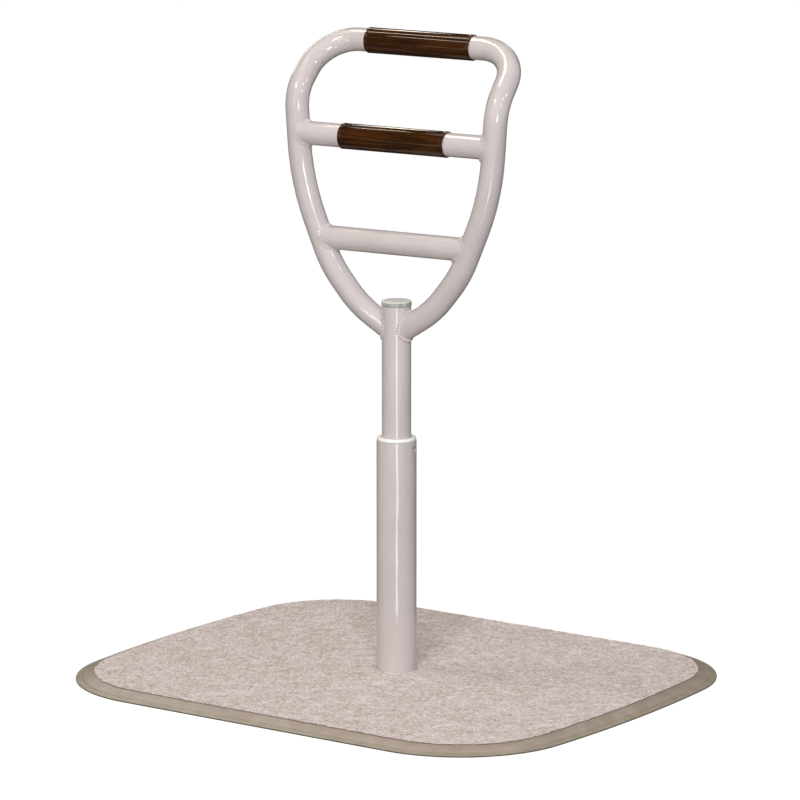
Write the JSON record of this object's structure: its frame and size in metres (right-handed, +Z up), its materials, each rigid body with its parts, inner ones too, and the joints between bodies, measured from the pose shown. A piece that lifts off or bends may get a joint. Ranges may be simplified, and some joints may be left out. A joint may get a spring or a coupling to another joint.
{
  "type": "standing support handle",
  "caption": "Free-standing support handle: carpeted floor plate with bevelled trim, telescopic post with clamp screw, and a looped tube handle with cross bars and wood-grain grips.",
  "frame": {"origin": "on the floor under the middle of the floor plate, which is also where the post stands", "axes": "+Z is up; +X runs along the long side of the plate; +Y points to the side that the top of the handle leans towards. The post and handle stand turned 6.3 degrees anticlockwise, seen from above."},
  "size_m": [0.7, 0.588, 0.7862],
  "materials": {
    "rubber_black": "moulded, matt",
    "zinc_plate": "zinc plated, satin",
    "carpet_beige": "needle-punched felt carpet, mottled pinkish beige",
    "trim_olive": "extruded vinyl, olive brown, satin",
    "painted_steel": "glossy baked enamel, pale pinkish grey",
    "white_nylon": "moulded nylon, off white",
    "black_oxide": "black oxide",
    "brass_tip": "turned brass",
    "cap_grey_green": "moulded polyethylene, grey green",
    "wood_grain_vinyl": "wood-grain vinyl sleeve, dark brown, glossy"
  },
  "bodies": {
    "base": {"anti_slip_sheet": "rubber_black", "base_plate": "zinc_plate", "carpet": "carpet_beige", "edge_trim": "trim_olive", "outer_column": "painted_steel", "column_foot_plug": "zinc_plate", "foot_screw_1": "black_oxide", "foot_screw_2": "black_oxide", "foot_screw_3": "black_oxide", "guide_bush": "white_nylon", "lock_nut": "zinc_plate"},
    "screw_tip": {"lock_screw_tip": "brass_tip"},
    "set_screw": {"lock_screw": "black_oxide"},
    "glide": {"glide_bush": "white_nylon"},
    "handle": {"inner_post": "painted_steel", "post_foot": "white_nylon", "retaining_pin": "zinc_plate", "post_cap": "cap_grey_green", "handle_loop": "painted_steel", "middle_bar": "painted_steel", "lower_bar": "painted_steel", "top_grip": "wood_grain_vinyl", "middle_grip": "wood_grain_vinyl"}
  },
  "joints": [
    {"name": "height_slide", "type": "slide", "parent": "base", "child": "glide", "axis": [0, 0, 1], "range_m": [0, 0.1]},
    {"name": "handle_swivel", "type": "hinge", "parent": "glide", "child": "handle", "pos_m": [0, 0, 0.04], "axis": [0, 0, 1], "continuous": true},
    {"name": "screw_travel", "type": "slide", "parent": "base", "child": "screw_tip", "axis": [0.994, 0.1097, 0], "range_m": [0, 0.003]},
    {"name": "screw_turn", "type": "hinge", "parent": "screw_tip", "child": "set_screw", "pos_m": [0.02415, 0.00267, 0.285], "axis": [0.994, 0.1097, 0], "range_deg": [0, 864]}
  ],
  "couplings": [
    {"joint": "screw_turn", "follows": "screw_travel", "rad_per_m": 5026.5}
  ]
}
